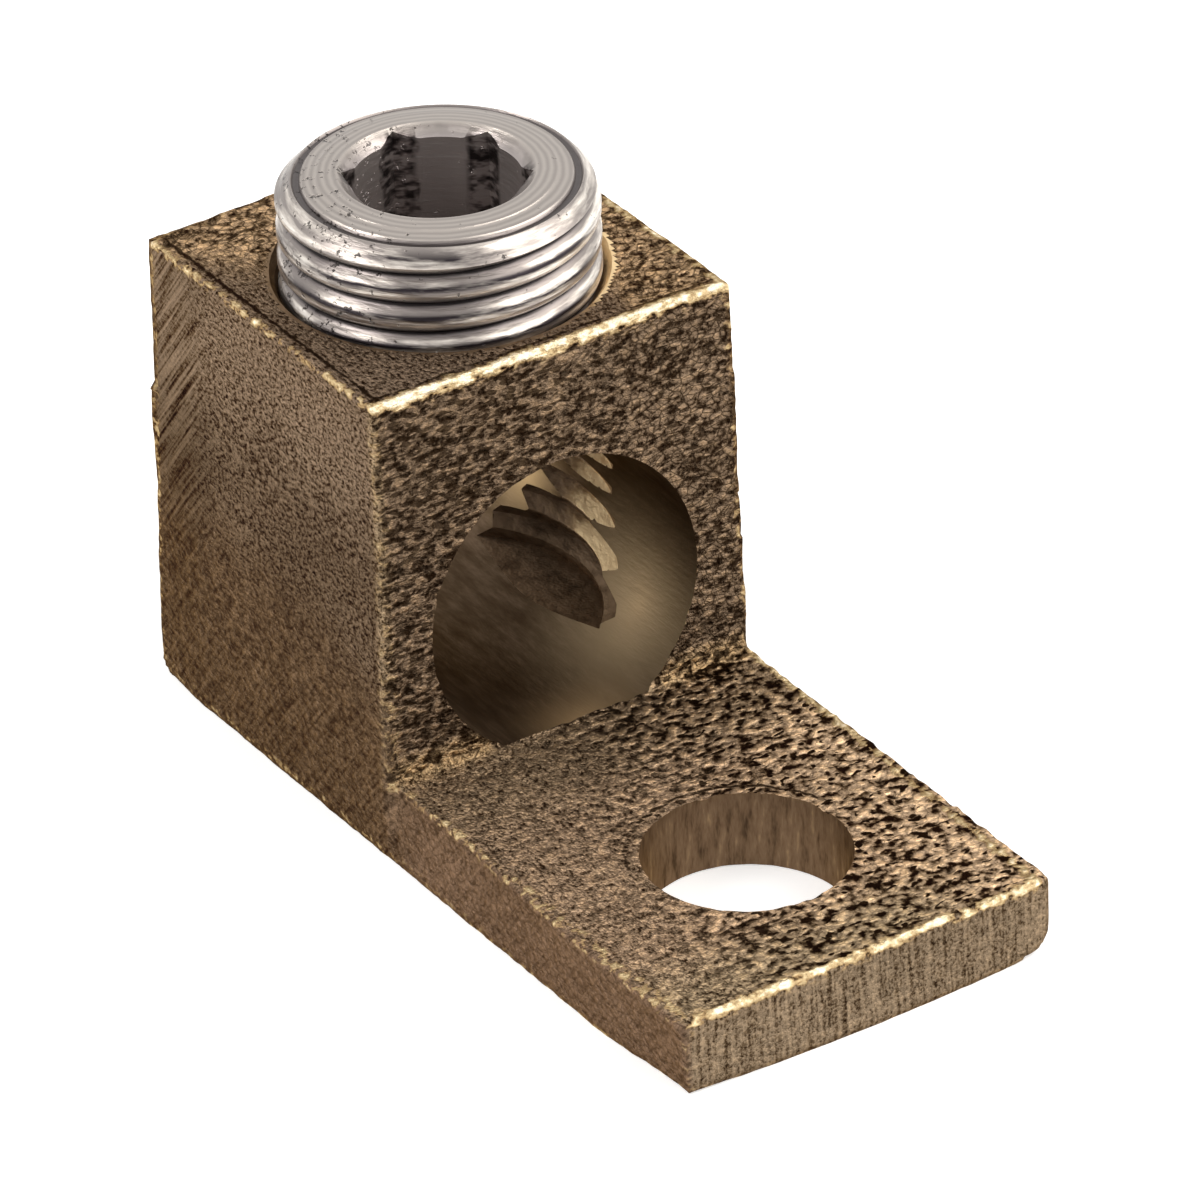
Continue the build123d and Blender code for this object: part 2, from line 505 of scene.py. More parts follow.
def cut(piece, tool, operation="DIFFERENCE"):
    """Cuts a piece with a closed tool, and takes the tool away."""
    modify(piece, "BOOLEAN", object=tool, operation=operation, solver="MANIFOLD")
    bpy.data.objects.remove(tool)


# Cable bore, ending just past the foot so that its floor leaves a small step in the tongue
bore_length = foot_x - back_x + 2 * mm
deselect()
bpy.ops.mesh.primitive_cylinder_add(
    vertices=160,
    radius=bore_radius * mm,
    depth=bore_length,
    location=(foot_x + 0.3 * mm - bore_length / 2, 0, bore_height * mm),
    rotation=(0, math.pi / 2, 0),
)
drill_bit = bpy.context.object
work_on(drill_bit, "EDIT")
for place in np.arange(-36.5, -15.0, 0.8):
    bpy.ops.mesh.select_all(action="SELECT")
    bpy.ops.mesh.bisect(plane_co=(place * mm, 0, 0), plane_no=(1, 0, 0))
deselect()
cut(casting, drill_bit)

# Tapping drill with its shallow point and a chamfered mouth, then the tap, worn a little loose
drill_radius, drill_floor, tapped_radius = 7.45, 4.7, 8.22
drill = [
    (0, drill_floor - drill_radius * math.tan(math.radians(10))),
    (drill_radius, drill_floor),
    (drill_radius, 23.4),
    (mouth_radius, 24.7),
    (mouth_radius, 26),
    (0, 26),
]
cut(casting, turned("tapping_drill", drill, screw_x, 160))
tap_row = thread_row(tapped_radius - drill_radius + 0.02, 0.40, 0.52, 0.05)
tap_start = ridge_height - 7 * pitch
cut(casting, threaded("tap", drill_radius - 0.02, tap_row, tap_start, 14, 120))

# Stud hole
deselect()
bpy.ops.mesh.primitive_cylinder_add(
    vertices=120, radius=stud_radius * mm, depth=8 * mm, location=(0, 0, 2 * mm)
)
cut(casting, bpy.context.object)

# The new corners on the holes' rims take the finish of the nearest cast skin
lookup = KDTree(len(grown))
for i, spot in enumerate(grown):
    lookup.insert(spot, i)
lookup.balance()
nearest = np.array([lookup.find(spot)[1] for spot in spots(casting)])
for name, values in finish.items():
    paint(casting, name, values[nearest])


def add(tree, kind, settings=None, links=None, stops=None):
    """Adds a node with its settings, its input values or links, and the stops of a colour ramp."""
    node = tree.nodes.new(kind)
    for key, value in (settings or {}).items():
        setattr(node, key, value)
    for key, value in (links or {}).items():
        if isinstance(value, bpy.types.NodeSocket):
            tree.links.new(value, node.inputs[key])
        else:
            node.inputs[key].default_value = value
    if stops:
        ramp = node.color_ramp
        while len(ramp.elements) < len(stops):
            ramp.elements.new(0.5)
        for element, (place, hex_colour) in zip(ramp.elements, stops):
            element.position = place
            element.color = (*linear(hex_colour), 1)
    return node


def finish_of(name):
    """A new material, with its tree, its shader, and its object coordinates turned to mm."""
    material = bpy.data.materials.new(name)
    material.use_nodes = True
    tree = material.node_tree
    place = add(tree, "ShaderNodeTexCoord").outputs["Object"]
    in_mm = add(tree, "ShaderNodeMapping", {}, {"Vector": place, "Scale": (1000, 1000, 1000)})
    return material, tree, tree.nodes["Principled BSDF"], in_mm.outputs["Vector"]


# Sand cast bronze, tarnished brown: pebbled by the sand, black in its pits and cracks, with painted
# shade in its hollows, and rubbed to bright metal on its arrises, with a painted highlight there.
# Grains are about 0.2 mm, pebbles 0.4 mm and pits 0.3 to 0.8 mm.
cast_bronze, tree, shader, at = finish_of("sand_cast_bronze")
painted = {
    name: add(tree, "ShaderNodeAttribute", {"attribute_name": name}).outputs
    for name in ("tone", "dip", *painted_zones)
}
grain_run = add(tree, "ShaderNodeMapping", {}, {"Vector": at, "Scale": (0.68, 1.0, 1.0)})
grain = add(
    tree, "ShaderNodeTexNoise", {},
    {"Vector": grain_run.outputs["Vector"], "Scale": 5.6, "Detail": 2.0, "Roughness": 0.8},
).outputs["Fac"]
# Hollows between the grains lie level on the front, and across the tongue
level = add(tree, "ShaderNodeMapping", {}, {"Vector": at, "Scale": (1.0, 0.75, 1.3)})
hollows = add(
    tree, "ShaderNodeTexNoise", {},
    {"Vector": level.outputs["Vector"], "Scale": 2.3, "Detail": 1.0, "Roughness": 0.5},
).outputs["Fac"]
hollow_part = add(tree, "ShaderNodeMath", {"operation": "MULTIPLY"}, {0: hollows, 1: 0.75})
pebbled = add(
    tree, "ShaderNodeMath", {"operation": "MULTIPLY_ADD"},
    {0: grain, 1: 0.25, 2: hollow_part.outputs[0]},
).outputs[0]
# Scratches of the belt, rising to the front of the long sides, and the saw's upright lines
turned_with_belt = add(
    tree, "ShaderNodeMapping", {}, {"Vector": at, "Rotation": (0, math.radians(52), 0)}
)
belt_run = add(
    tree, "ShaderNodeMapping", {},
    {"Vector": turned_with_belt.outputs["Vector"], "Scale": (0.2, 1.0, 5.5)},
)
belt = add(
    tree, "ShaderNodeTexNoise", {},
    {"Vector": belt_run.outputs["Vector"], "Scale": 1.0, "Detail": 1.0, "Roughness": 0.6},
).outputs["Fac"]
saw_run = add(tree, "ShaderNodeMapping", {}, {"Vector": at, "Scale": (0.3, 4.2, 0.3)})
saw = add(
    tree, "ShaderNodeTexNoise", {},
    {"Vector": saw_run.outputs["Vector"], "Scale": 1.0, "Detail": 1.0, "Roughness": 0.5},
).outputs["Fac"]
# One height for the fine finish: grain, with belt scratches or saw lines half laid in
belt_part = add(
    tree, "ShaderNodeMath", {"operation": "MULTIPLY"}, {0: painted["ground"]["Fac"], 1: 0.6}
)
with_belt = add(
    tree, "ShaderNodeMix", {"data_type": "FLOAT"}, {0: belt_part.outputs[0], 2: grain, 3: belt}
)
saw_part = add(
    tree, "ShaderNodeMath", {"operation": "MULTIPLY"}, {0: painted["end"]["Fac"], 1: 0.4}
)
fine = add(
    tree, "ShaderNodeMix", {"data_type": "FLOAT"},
    {0: saw_part.outputs[0], 2: with_belt.outputs[0], 3: saw},
).outputs[0]
fine_shade = add(
    tree, "ShaderNodeValToRGB", {}, {"Fac": fine},
    [(0.36, "2e1e10"), (0.44, "867b6e"), (0.51, "c0bbb3"), (0.60, "e0d9ce"), (0.70, "fff8ea")],
)
pebble_shade = add(
    tree, "ShaderNodeValToRGB", {}, {"Fac": pebbled},
    [(0.385, "1c120a"), (0.435, "70675c"), (0.485, "b3aca3"), (0.55, "cdc6bb"), (0.63, "fbf0dc")],
)
shade = add(
    tree, "ShaderNodeMix", {"data_type": "RGBA"},
    {0: painted["pebbly"]["Fac"], 6: fine_shade.outputs["Color"], 7: pebble_shade.outputs["Color"]},
)
calm = add(tree, "ShaderNodeMath", {"operation": "MULTIPLY"}, {0: painted["calm"]["Fac"], 1: 0.6})
calm_shade = add(
    tree, "ShaderNodeMix", {"data_type": "RGBA"},
    {0: calm.outputs[0], 6: shade.outputs[2], 7: (*linear("b8b2aa"), 1)},
)
shaded = add(
    tree, "ShaderNodeMix", {"data_type": "RGBA", "blend_type": "MULTIPLY"},
    {0: 1.0, 6: painted["tone"]["Color"], 7: calm_shade.outputs[2]},
)
body_colour = add(
    tree, "ShaderNodeVectorMath", {"operation": "SCALE"},
    {0: shaded.outputs[2], "Scale": 2.0},
)
# Small round pits, sharp and black, and cracks between the pebbles of the top and the tongue
pit_run = add(tree, "ShaderNodeMapping", {}, {"Vector": at, "Scale": (1.1, 0.6, 1.6)})
pit_noise = add(
    tree, "ShaderNodeTexNoise", {},
    {"Vector": pit_run.outputs["Vector"], "Scale": 2.3, "Detail": 1.0, "Roughness": 0.5},
)
pit_level = add(
    tree, "ShaderNodeMath", {"operation": "MULTIPLY_ADD"},
    {0: painted["creviced"]["Fac"], 1: -0.085, 2: pit_noise.outputs["Fac"]},
)
pit = add(
    tree, "ShaderNodeMapRange", {},
    {"Value": pit_level.outputs[0], "From Min": 0.35, "From Max": 0.40, "To Min": 1.0,
     "To Max": 0.0},
)
pit_here = add(
    tree, "ShaderNodeMath", {"operation": "MULTIPLY"},
    {0: pit.outputs["Result"], 1: painted["pebbly"]["Fac"]},
)
cells = add(
    tree, "ShaderNodeTexVoronoi", {"feature": "DISTANCE_TO_EDGE"},
    {"Vector": level.outputs["Vector"], "Scale": 2.2},
)
crack = add(
    tree, "ShaderNodeMapRange", {},
    {"Value": cells.outputs["Distance"], "From Min": 0.01, "From Max": 0.11, "To Min": 1.0,
     "To Max": 0.0},
)
crack_here = add(
    tree, "ShaderNodeMath", {"operation": "MULTIPLY"},
    {0: crack.outputs["Result"], 1: painted["cracked"]["Fac"]},
)
hole_here = add(
    tree, "ShaderNodeMath", {"operation": "MAXIMUM"},
    {0: crack_here.outputs[0], 1: pit_here.outputs[0]},
)
# Black in the pits and cracks, painted shade in the hollows of the mesh, dark in the long crack
# behind the burr, and a painted shade line round the back of the stud hole
hollow_shade = add(
    tree, "ShaderNodeMapRange", {"interpolation_type": "SMOOTHSTEP"},
    {"Value": painted["dip"]["Fac"], "From Min": -0.24, "From Max": -0.05, "To Min": 0.9,
     "To Max": 0.0},
)
# The crack behind the burr, and the painted shade line behind the stud hole
burr_sum = add(
    tree, "ShaderNodeMath", {"operation": "MULTIPLY_ADD"},
    {0: hollows, 1: 1.2, 2: painted["groove"]["Fac"]},
)
crack_and_rim_shade = add(
    tree, "ShaderNodeMapRange", {"interpolation_type": "SMOOTHSTEP"},
    {"Value": burr_sum.outputs[0], "From Min": 1.1, "From Max": 1.4, "To Min": 0.0, "To Max": 0.95},
)
dark_a = add(
    tree, "ShaderNodeMath", {"operation": "MAXIMUM"},
    {0: hole_here.outputs[0], 1: hollow_shade.outputs["Result"]},
)
dark_b = add(
    tree, "ShaderNodeMath", {"operation": "MAXIMUM"},
    {0: dark_a.outputs[0], 1: crack_and_rim_shade.outputs["Result"]},
)
darkened = add(
    tree, "ShaderNodeMix", {"data_type": "RGBA"},
    {0: dark_b.outputs[0], 6: body_colour.outputs[0], 7: (*linear("1d1208"), 1)},
)
# Rubbed arrises: orange brown at the border, cream where the metal is bare, with a painted
# highlight, and broken by knocks
rub = add(
    tree, "ShaderNodeMath", {"operation": "MULTIPLY_ADD"},
    {0: pebbled, 1: 2.2, 2: painted["gleam"]["Fac"]},
)
rub_mask = add(
    tree, "ShaderNodeMapRange", {"interpolation_type": "SMOOTHSTEP"},
    {"Value": rub.outputs[0], "From Min": 1.24, "From Max": 1.42, "To Min": 0.0, "To Max": 1.0},
)
rub_shown = add(
    tree, "ShaderNodeMath", {"operation": "MULTIPLY", "use_clamp": True},
    {0: rub_mask.outputs["Result"], 1: add(
        tree, "ShaderNodeMath", {"operation": "MULTIPLY", "use_clamp": True},
        {0: painted["gleam"]["Fac"], 1: 6.0},
    ).outputs[0]},
)
rub_level = add(
    tree, "ShaderNodeMapRange", {},
    {"Value": rub.outputs[0], "From Min": 1.25, "From Max": 1.95, "To Min": 0.0, "To Max": 1.0},
)
rub_and_highlight_colour = add(
    tree, "ShaderNodeValToRGB", {}, {"Fac": rub_level.outputs["Result"]},
    [(0.0, "8a6742"), (0.25, "a38b66"), (0.6, "cdb78f"), (1.0, "fff0d4")],
)
rubbed = add(
    tree, "ShaderNodeMix", {"data_type": "RGBA"},
    {0: rub_shown.outputs[0], 6: darkened.outputs[2], 7: rub_and_highlight_colour.outputs["Color"]},
)
tree.links.new(rubbed.outputs[2], shader.inputs["Base Color"])
shader.inputs["Metallic"].default_value = 0.95
shader.inputs["Specular Tint"].default_value = (*linear("b8a792"), 1)
shader.inputs["Roughness"].default_value = 0.5
# Relief of the same grains, pebbles and pits
height = add(
    tree, "ShaderNodeMix", {"data_type": "FLOAT"},
    {0: painted["pebbly"]["Fac"], 2: fine, 3: pebbled},
)
low = add(
    tree, "ShaderNodeMath", {"operation": "MULTIPLY_ADD"},
    {0: pit_here.outputs[0], 1: -0.2, 2: height.outputs[0]},
)
depth = add(
    tree, "ShaderNodeMapRange", {},
    {"Value": painted["pebbly"]["Fac"], "To Min": 0.00018, "To Max": 0.00045},
)
bump = add(
    tree, "ShaderNodeBump", {},
    {"Height": low.outputs[0], "Strength": 1.0, "Distance": depth.outputs["Result"]},
)
tree.links.new(bump.outputs["Normal"], shader.inputs["Normal"])


def drilled(name, stretch, stops):
    """Smooth drilled bronze with faint streaks, and its dull colours from dark to light."""
    material, tree, shader, at = finish_of(name)
    run = add(tree, "ShaderNodeMapping", {}, {"Vector": at, "Scale": stretch})
    streaks = add(
        tree, "ShaderNodeTexNoise", {},
        {"Vector": run.outputs["Vector"], "Scale": 1.0, "Detail": 3.0, "Roughness": 0.7},
    )
    colour = add(tree, "ShaderNodeValToRGB", {}, {"Fac": streaks.outputs["Fac"]}, stops)
    tree.links.new(colour.outputs["Color"], shader.inputs["Base Color"])
    shader.inputs["Metallic"].default_value = 0.95
    shader.inputs["Specular Tint"].default_value = (*linear("b8a792"), 1)
    shader.inputs["Roughness"].default_value = 0.5
    bump = add(
        tree, "ShaderNodeBump", {},
        {"Height": streaks.outputs["Fac"], "Strength": 0.5, "Distance": 0.00008},
    )
    tree.links.new(bump.outputs["Normal"], shader.inputs["Normal"])
    return material, tree, shader, at, colour


# The stud hole's wall, streaked along the hole, and the cable bore's, with pools of painted light
# and painted reflection on its right, at the mouth's floor and further back
hole_stops = [(0.3, "4a3a2b"), (0.45, "6e5843"), (0.6, "7d664f"), (0.75, "9c8260")]
stud_bronze = drilled("drilled_bronze", (2.2, 2.2, 0.5), hole_stops)[0]
bore_stops = [(0.3, "4b3b2d"), (0.5, "584838"), (0.7, "6c5a49")]
bored_bronze, tree, shader, at, dull = drilled("bored_bronze", (0.5, 2.0, 2.0), bore_stops)
streaks_and_painted_light = dull.outputs["Color"]
# Painted light: each patch lightens the bore's wall towards a pale colour round a point
for centre, reach, hex_colour in (
    ((-18.6, 6.7, 6.2), 8.0, "ffe2b4"),
    ((-15.6, 1.0, 3.0), 4.6, "e6c496"),
    ((-29.9, 7.4, 8.2), 4.2, "dcbc8c"),
):
    patch = add(
        tree, "ShaderNodeMapping", {"vector_type": "TEXTURE"},
        {"Vector": at, "Location": centre, "Scale": (reach, reach, reach)},
    )
    near = add(
        tree, "ShaderNodeTexGradient", {"gradient_type": "QUADRATIC_SPHERE"},
        {"Vector": patch.outputs["Vector"]},
    )
    streaks_and_painted_light = add(
        tree, "ShaderNodeMix", {"data_type": "RGBA"},
        {0: near.outputs["Fac"], 6: streaks_and_painted_light, 7: (*linear(hex_colour), 1)},
    ).outputs[2]
tree.links.new(streaks_and_painted_light, shader.inputs["Base Color"])

# Tapped bronze: painted light on the upward-facing flanks of the thread, on the side seen through
# the bore, and the rest darker
skin = spots(casting)
facing_up = np.array([v.normal for v in casting.data.vertices])[:, 2]
# Painted light: lighter where the flanks face up, on the hole's right side, above its floor and
# towards the front
painted_light_flank = soft(facing_up, 0.15, 0.6) * soft(skin[:, 1], 1.5, 6.5)
painted_light_flank *= soft(skin[:, 2], 5.4, 6.4)
painted_light_flank *= 0.15 + 0.85 * soft(skin[:, 0], -27.6, -24.0)
paint(casting, "painted_light_flank", painted_light_flank)
tapped_bronze, tree, shader, at = finish_of("tapped_bronze")
smear_run = add(tree, "ShaderNodeMapping", {}, {"Vector": at, "Scale": (1.0, 1.0, 2.2)})
smear = add(
    tree, "ShaderNodeTexNoise", {},
    {"Vector": smear_run.outputs["Vector"], "Scale": 0.9, "Detail": 3.0, "Roughness": 0.65},
)
flank = add(tree, "ShaderNodeAttribute", {"attribute_name": "painted_light_flank"}).outputs["Fac"]
flank_sum = add(
    tree, "ShaderNodeMath", {"operation": "MULTIPLY_ADD"},
    {0: smear.outputs["Fac"], 1: 0.6, 2: flank},
)
flank_colour = add(
    tree, "ShaderNodeValToRGB", {}, {"Fac": flank_sum.outputs[0]},
    [(0.18, "6a5745"), (0.30, "8c765f"), (0.42, "967f68"), (0.72, "b69a76"), (0.92, "fbe0b2")],
)
tree.links.new(flank_colour.outputs["Color"], shader.inputs["Base Color"])
shader.inputs["Metallic"].default_value = 0.95
shader.inputs["Specular Tint"].default_value = (*linear("b8a792"), 1)
shader.inputs["Roughness"].default_value = 0.5
bump = add(
    tree, "ShaderNodeBump", {},
    {"Height": smear.outputs["Fac"], "Strength": 0.6, "Distance": 0.00015},
)
tree.links.new(bump.outputs["Normal"], shader.inputs["Normal"])

casting.data.materials.clear()
for material in (cast_bronze, bored_bronze, tapped_bronze, stud_bronze):
    casting.data.materials.append(material)


def surface_at(centre):
    """0 on the cast skin, 1 in the cable bore, 2 in the tapped hole and 3 in the stud hole."""
    x, y, z = centre / mm
    if x < -14.55 and abs(math.hypot(y, z - bore_height) - bore_radius + 0.01) < 0.03:
        return 1
    if math.hypot(x, y) < stud_radius + 0.03:
        return 3
    if math.hypot(x - screw_x / mm, y) < mouth_radius + 0.02 and 3.0 < z < 24.55:
        return 2
    return 0


for face in casting.data.polygons:
    face.use_smooth = True
    face.material_index = surface_at(face.center)
work_on(casting, "EDIT")
pick(
    "EDGE",
    lambda e: len({f.material_index for f in e.link_faces}) > 1
    or (e.link_faces[0].material_index > 0 and e.calc_face_angle(0) > math.radians(30)),
)
bpy.ops.mesh.mark_sharp()
deselect()

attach(casting, "lug")
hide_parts("lug_body")


# The set screw was turned from steel bar, threaded, drilled, and its hexagon broached through the
# drilled hole. It is plated, and knocks and the key have torn its edges.
land = screw_top - 0.35
screw_row = thread_row(thread_depth, 0.62, 0.42, 0.35)
rod_start = ridge_height - pitch
set_screw = threaded("set_screw_turned", core_radius, screw_row, rod_start, 11, 144)
blank = [
    (0, screw_tip),
    (7.0, screw_tip),
    (7.95, screw_tip + 0.9),
    (7.95, land - 0.85),
    (7.55, land - 0.48),
    (7.16, land - 0.04),
    (7.08, land),
    (6.98, land - 0.10),
    (6.70, land - 0.10),
    (6.62, land + 0.08),
    (6.56, land + 0.13),
    (5.92, land + 0.20),
    (5.88, land + 0.21),
    (5.82, land + 0.27),
    (5.74, land + 0.28),
    (4.60, screw_top),
    (0, screw_top),
]
cut(set_screw, turned("screw_blank", blank, screw_x, 144), "INTERSECT")
pilot_radius = 4.175
pilot = [(0, screw_top - 9.1), (pilot_radius, screw_top - 6.6)]
pilot += [(pilot_radius, screw_top - 0.55), (4.85, screw_top + 0.01)]
pilot += [(4.95, screw_top + 0.3), (0, screw_top + 0.3)]
cut(set_screw, turned("pilot_drill", pilot, screw_x, 120))

# The broach tore the metal, so its hexagon is ragged
deselect()
bpy.ops.mesh.primitive_cylinder_add(
    vertices=6,
    radius=4 / math.cos(math.radians(30)) * mm,
    depth=8 * mm,
    location=(screw_x, 0, (screw_top - 2) * mm),
    rotation=(0, 0, math.radians(24.7)),
)
broach = bpy.context.object
bpy.ops.object.transform_apply(location=True, rotation=True, scale=True)
work_on(broach, "EDIT")
bpy.ops.mesh.select_all(action="SELECT")
bpy.ops.mesh.subdivide(number_cuts=15)
bpy.ops.mesh.quads_convert_to_tris()
torn = relief("torn_metal", "CLOUDS", 0.9, noise_depth=2, contrast=1.6)
modify(
    broach, "DISPLACE", texture=torn, texture_coords="LOCAL", strength=0.12 * mm, mid_level=0.3
)
cut(set_screw, broach)

# Plated steel: bright crests, roots dark with grime and oil and with painted shade, painted shade
# in the groove round the top, painted light on the right, knocked and pitted on the left, and torn
# dark in the socket, but for the strips of drilled wall that the broach didn't reach
places = spots(set_screw)
off_x, off_y = places[:, 0] - screw_x / mm, places[:, 1]
radius = np.hypot(off_x, off_y)
thread = (radius > core_radius - 0.1) & (places[:, 2] < land - 0.9)
turn = np.arctan2(off_y, off_x) / math.tau
share = ((places[:, 2] - rod_start) / pitch - turn + 0.5) % 1 - 0.5
# Painted shade, with grime: the colour darkens towards the thread's roots, and in the groove round
# the top
root = thread * np.exp(-(((0.5 - np.abs(share)) / 0.10) ** 2))
crown_groove = (radius > 6.64) & (radius < 7.02) & (places[:, 2] > land - 0.2)
# Painted light: the thread's colour runs lighter towards the right
painted_light_right = 0.09 * thread * soft(0.545 * off_x + 0.838 * off_y, 2, 7)
paint(set_screw, "root", np.where(crown_groove, 0.62, root - painted_light_right))
# Painted reflection: a dull purple-grey band on the front of the crests and of the chamfer
facing = (off_x * 0.838 - off_y * 0.545) / np.maximum(radius, 1)
crest_band = thread * np.exp(-(((share - 0.13) / 0.11) ** 2)) * soft(facing, -0.1, 0.7)
chamfer_band = np.exp(-(((places[:, 2] - land + 0.42) / 0.16) ** 2)) * (radius > 7.1)
paint(set_screw, "painted_dark_reflection", np.maximum(crest_band, chamfer_band * soft(facing, 0.80, 0.96)))
inside = (radius < 4.7) & (places[:, 2] < screw_top - 0.25)
paint(set_screw, "socket", inside.astype(float))
paint(set_screw, "strip", (inside & (np.abs(radius - pilot_radius) < 0.04)).astype(float))
paint(set_screw, "crown", (places[:, 2] > land - 0.3).astype(float) * (radius < 7.1))
paint(set_screw, "knocked", soft(-0.545 * off_x - 0.838 * off_y, -2.0, 6.5))
plated_steel, tree, shader, at = finish_of("plated_steel")
of_screw = {
    name: add(tree, "ShaderNodeAttribute", {"attribute_name": name}).outputs["Fac"]
    for name in ("root", "socket", "strip", "knocked", "painted_dark_reflection", "crown")
}
round_turns = add(tree, "ShaderNodeMapping", {}, {"Vector": at, "Scale": (0.28, 0.28, 2.6)})
streak = add(
    tree, "ShaderNodeTexNoise", {},
    {"Vector": round_turns.outputs["Vector"], "Scale": 1.0, "Detail": 4.0, "Roughness": 0.6},
)
speck = add(
    tree, "ShaderNodeTexNoise", {},
    {"Vector": at, "Scale": 2.2, "Detail": 3.0, "Roughness": 0.7},
)
about_axis = add(tree, "ShaderNodeMapping", {}, {"Vector": at, "Location": (-screw_x / mm, 0, 0)})
turning_marks = add(
    tree, "ShaderNodeTexWave",
    {"wave_type": "RINGS", "rings_direction": "Z", "wave_profile": "SIN"},
    {"Vector": about_axis.outputs["Vector"], "Scale": 0.85, "Distortion": 1.6, "Detail": 2.0,
     "Detail Scale": 0.6, "Detail Roughness": 0.7},
)
marks_part = add(
    tree, "ShaderNodeMath", {"operation": "MULTIPLY_ADD"},
    {0: turning_marks.outputs["Fac"], 1: 0.05, 2: 0.48},
)
finish_part = add(
    tree, "ShaderNodeMix", {"data_type": "FLOAT"},
    {0: of_screw["crown"], 2: streak.outputs["Fac"], 3: marks_part.outputs[0]},
)
root_sum = add(
    tree, "ShaderNodeMath", {"operation": "MULTIPLY_ADD"},
    {0: finish_part.outputs[0], 1: 0.75, 2: of_screw["root"]},
)
root_share = add(
    tree, "ShaderNodeMath", {"operation": "MULTIPLY_ADD"},
    {0: root_sum.outputs[0], 1: 0.65, 2: 0.115},
)
# Pale at the crests, with painted shade deep in the roots
root_colour = add(
    tree, "ShaderNodeValToRGB", {}, {"Fac": root_share.outputs[0]},
    [(0.26, "fff8ee"), (0.32, "ccc3ba"), (0.385, "948c87"), (0.62, "7d7573"), (0.90, "1e1919")],
)
knock = add(
    tree, "ShaderNodeMath", {"operation": "MULTIPLY_ADD"},
    {0: of_screw["knocked"], 1: 0.10, 2: speck.outputs["Fac"]},
)
knock_mask = add(
    tree, "ShaderNodeMapRange", {},
    {"Value": knock.outputs[0], "From Min": 0.68, "From Max": 0.75, "To Min": 0.0, "To Max": 0.85},
)
pitted = add(
    tree, "ShaderNodeMix", {"data_type": "RGBA"},
    {0: knock_mask.outputs["Result"], 6: root_colour.outputs["Color"], 7: (*linear("2b2624"), 1)},
)
tear_run = add(tree, "ShaderNodeMapping", {}, {"Vector": at, "Scale": (0.7, 0.7, 1.6)})
tear = add(
    tree, "ShaderNodeTexNoise", {},
    {"Vector": tear_run.outputs["Vector"], "Scale": 1.3, "Detail": 2.0, "Roughness": 0.6},
)
torn_colour = add(
    tree, "ShaderNodeValToRGB", {}, {"Fac": tear.outputs["Fac"]},
    [(0.40, "2c2625"), (0.50, "6a615f"), (0.60, "a79d9a")],
)
in_socket = add(
    tree, "ShaderNodeMix", {"data_type": "RGBA"},
    {0: of_screw["strip"], 6: torn_colour.outputs["Color"], 7: (*linear("a89f9c"), 1)},
)
# The painted reflection band, broken up by the streaks
band_breakup = add(
    tree, "ShaderNodeMapRange", {},
    {"Value": streak.outputs["Fac"], "From Min": 0.38, "From Max": 0.56, "To Min": 0.45,
     "To Max": 1.2},
)
band = add(
    tree, "ShaderNodeMath", {"operation": "MULTIPLY", "use_clamp": True},
    {0: of_screw["painted_dark_reflection"], 1: band_breakup.outputs["Result"]},
)
banded = add(
    tree, "ShaderNodeMix", {"data_type": "RGBA"},
    {0: band.outputs[0], 6: pitted.outputs[2], 7: (*linear("2c262a"), 1)},
)
steel_colour = add(
    tree, "ShaderNodeMix", {"data_type": "RGBA"},
    {0: of_screw["socket"], 6: banded.outputs[2], 7: in_socket.outputs[2]},
)
tree.links.new(steel_colour.outputs[2], shader.inputs["Base Color"])
shader.inputs["Metallic"].default_value = 0.8
shader.inputs["Roughness"].default_value = 0.33
uneven = add(
    tree, "ShaderNodeMath", {"operation": "MULTIPLY_ADD"},
    {0: knock_mask.outputs["Result"], 1: -0.8, 2: streak.outputs["Fac"]},
)
bump = add(
    tree, "ShaderNodeBump", {}, {"Height": uneven.outputs[0], "Strength": 0.8, "Distance": 0.0001}
)
tree.links.new(bump.outputs["Normal"], shader.inputs["Normal"])
set_screw.data.materials.clear()
set_screw.data.materials.append(plated_steel)
for face in set_screw.data.polygons:
    face.use_smooth = True
    face.material_index = 0
work_on(set_screw)
bpy.ops.object.shade_smooth_by_angle(angle=math.radians(32))
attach(set_screw, "screw")
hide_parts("set_screw")


# The studio: a pale floor, a soft white surround and a camera where the photograph was taken
deselect()
bpy.ops.mesh.primitive_plane_add(size=4, location=(0, 0, -0.05 * mm))
floor = bpy.context.object
floor.name = "floor"


def white_to_eye(tree):
    """1 for rays from the camera, or reflected or refracted ones, and 0 for the rest."""
    ray = add(tree, "ShaderNodeLightPath")
    glossy = add(tree, "ShaderNodeMath", {"operation": "MAXIMUM"},
                 {0: ray.outputs["Is Camera Ray"], 1: ray.outputs["Is Glossy Ray"]})
    both = add(tree, "ShaderNodeMath", {"operation": "MAXIMUM"},
               {0: glossy.outputs[0], 1: ray.outputs["Is Transmission Ray"]})
    return both.outputs[0]


# Camera's place round the lug: angles in degrees
azimuth, elevation, roll = map(math.radians, (56.946, 31.706, -1.620))


def toward(lift):
    """Direction from the lug at the camera's azimuth, at the given elevation in radians."""
    flat = math.cos(lift)
    return Vector((math.sin(azimuth) * flat, -math.cos(azimuth) * flat, math.sin(lift)))


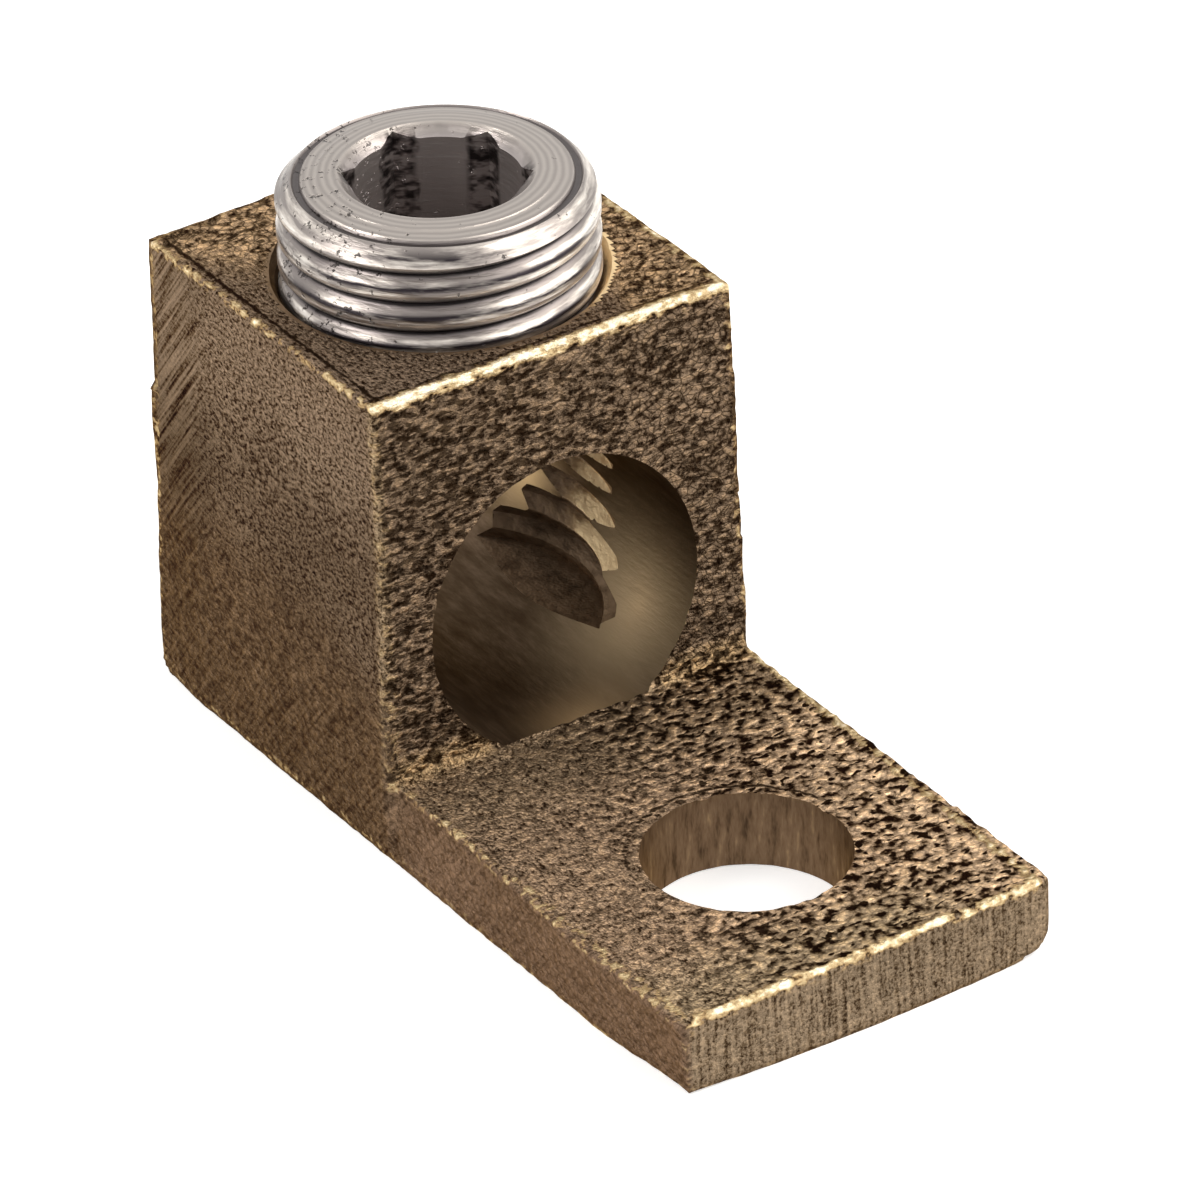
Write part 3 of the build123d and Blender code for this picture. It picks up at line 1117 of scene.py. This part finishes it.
# White surround: full white to the eye and in reflections, half that as light on the object. The
# room behind the camera is dark, and shows in the bare metal as a dark band.
world = bpy.data.worlds.new("white_surround")
bpy.context.scene.world = world
world.use_nodes = True
tree = world.node_tree
direction = add(tree, "ShaderNodeTexCoord").outputs["Generated"]
behind_camera = add(
    tree, "ShaderNodeVectorMath", {"operation": "DOT_PRODUCT"},
    {0: direction, 1: toward(math.radians(2))},
)
dark_room = add(
    tree, "ShaderNodeMapRange", {"interpolation_type": "SMOOTHSTEP"},
    {"Value": behind_camera.outputs["Value"], "From Min": 0.80, "From Max": 0.95, "To Min": 0.5,
     "To Max": -0.3},
)
strength = add(
    tree, "ShaderNodeMath", {"operation": "MULTIPLY_ADD"},
    {0: white_to_eye(tree), 1: dark_room.outputs["Result"], 2: 0.5},
)
tree.links.new(strength.outputs[0], tree.nodes["Background"].inputs["Strength"])
tree.nodes["Background"].inputs["Color"].default_value = (1, 1, 1, 1)

# White paper floor, bright enough to clip to white but for the soft shadow under the lug
paper, tree, shader, at = finish_of("white_paper")
shader.inputs["Base Color"].default_value = (0.9, 0.9, 0.9, 1)
shader.inputs["Roughness"].default_value = 1.0
shader.inputs["Specular IOR Level"].default_value = 0.0
shader.inputs["Emission Color"].default_value = (1, 1, 1, 1)
glow = add(tree, "ShaderNodeMath", {"operation": "MULTIPLY"}, {0: white_to_eye(tree), 1: 0.45})
tree.links.new(glow.outputs[0], shader.inputs["Emission Strength"])
floor.data.materials.append(paper)


def soft_lamp(name, heading, distance, size, power, colour):
    """A square soft lamp that faces the lug from the given direction."""
    light = bpy.data.lights.new(name, "AREA")
    light.size = size
    light.energy = power
    light.color = colour
    lamp = bpy.data.objects.new(name, light)
    bpy.context.scene.collection.objects.link(lamp)
    direction = Vector(heading).normalized()
    middle = Vector((-0.012, 0, 0.012))
    lamp.location = middle + direction * distance
    lamp.rotation_euler = direction.to_track_quat("Z", "Y").to_euler()


soft_lamp("key_lamp", (0.62, 0.62, 0.62), 0.45, 0.50, 2.4, (1.0, 0.97, 0.92))
soft_lamp("side_lamp", (-0.25, -0.85, 0.65), 0.5, 0.25, 1.4, (1.0, 0.98, 0.95))

# Camera fitted to the lug's edges and rims: distances in mm, focal length in frame widths
aim, distance, shift_across, shift_up = Vector((-10, 0, 12)), 447.794, -1.235, 1.039
frame_width, focal_length = 36, 7.772
back = toward(elevation)
right = Vector((math.cos(azimuth), math.sin(azimuth), 0))
up = back.cross(right)
across = math.cos(roll) * right + math.sin(roll) * up
upward = -math.sin(roll) * right + math.cos(roll) * up
eye = (aim + back * distance + across * shift_across + upward * shift_up) * mm
lens = bpy.data.cameras.new("view")
lens.sensor_width = frame_width
lens.lens = frame_width * focal_length
lens.clip_start = 0.01
camera = bpy.data.objects.new("view", lens)
bpy.context.scene.collection.objects.link(camera)
axes = Matrix((across, upward, back)).transposed()
camera.matrix_world = Matrix.Translation(eye) @ axes.to_4x4()
bpy.context.scene.camera = camera
bpy.context.scene.view_settings.view_transform = "Standard"
